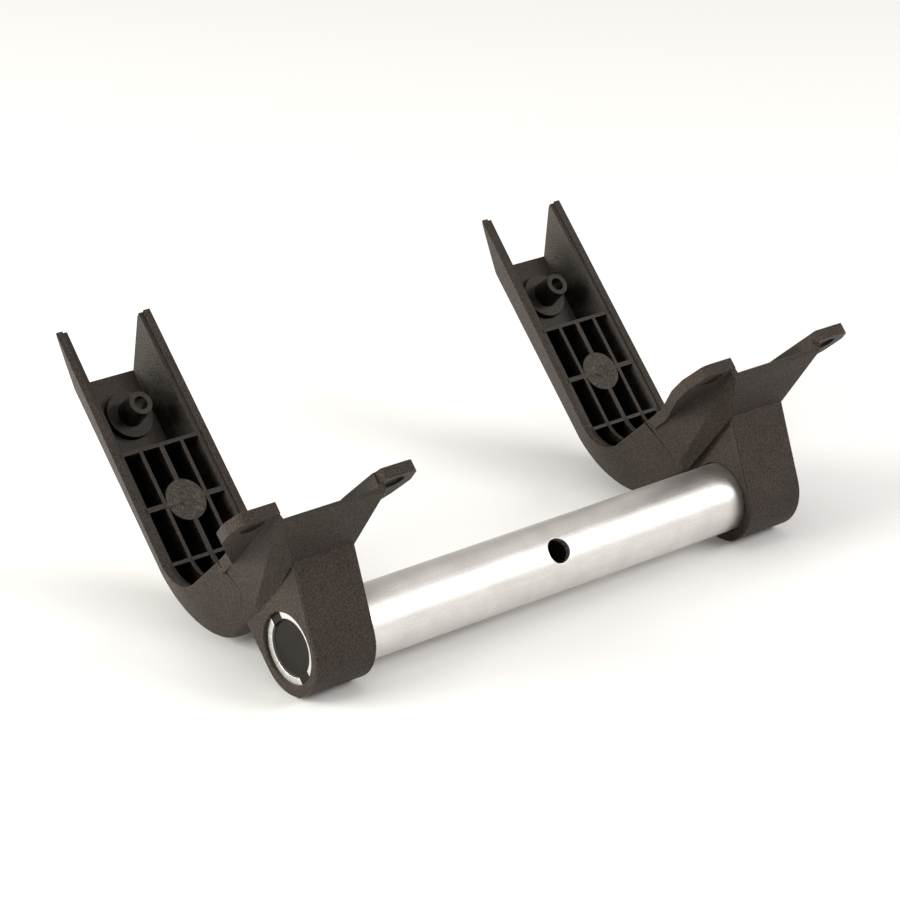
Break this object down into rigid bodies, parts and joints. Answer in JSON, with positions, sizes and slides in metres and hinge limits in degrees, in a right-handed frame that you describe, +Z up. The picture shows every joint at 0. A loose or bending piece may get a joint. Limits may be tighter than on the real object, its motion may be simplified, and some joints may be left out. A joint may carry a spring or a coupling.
{
  "type": "travel case base bar",
  "caption": "Cross bar with ribbed corner brackets at both ends, screwed to the lower edge of a travel case; its middle hole latches a clip-on wheel.",
  "frame": {"origin": "on the bar's axis, at its mid-length", "axes": "+X along the bar, to the right seen from the front; +Y back, towards the arms; +Z up. Both brackets lean back 45 degrees: the arms run along +Y+Z and their open side faces -Y+Z."},
  "size_m": [0.273, 0.141, 0.0863],
  "materials": {
    "nylon": "fine grained moulding texture, satin black",
    "bar": "satin anodised, fine grain along the length",
    "plug": "plain moulded, dark brown-grey"
  },
  "bodies": {
    "root": {"left_bracket": "nylon", "right_bracket": "nylon", "cross_tube": "bar", "left_end_plug": "plug", "right_end_plug": "plug", "pin_bush": "plug"}
  },
  "joints": []
}
